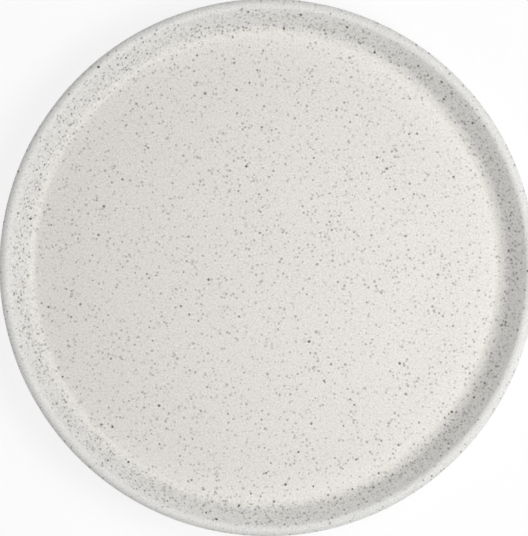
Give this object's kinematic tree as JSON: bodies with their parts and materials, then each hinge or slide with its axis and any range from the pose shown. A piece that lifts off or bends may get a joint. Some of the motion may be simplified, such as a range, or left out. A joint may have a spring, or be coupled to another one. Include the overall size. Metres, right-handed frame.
{
  "type": "side plate",
  "caption": "Round stoneware side plate with a flat floor, low wall leaning outwards, rounded lip and bare foot ring, in a speckled off-white satin glaze.",
  "frame": {"origin": "centre of the plane that the foot ring stands on", "axes": "+Z up along the plate's axis of revolution, away from the table; +X to the right and +Y up in the picture, which looks straight down"},
  "size_m": [0.175, 0.175, 0.0202],
  "materials": {
    "bare_stoneware": "bare buff stoneware, fired and wiped smooth, matt",
    "speckled_glaze": "off-white satin glaze with fine grey-brown iron specks",
    "pale_glaze": "the same satin glaze where it thins over the lip, paler and almost without specks"
  },
  "bodies": {
    "root": {"stoneware_body": "bare_stoneware", "face_glaze": "speckled_glaze", "lip_glaze": "pale_glaze", "back_glaze": "speckled_glaze", "foot_well_glaze": "speckled_glaze"}
  },
  "joints": []
}
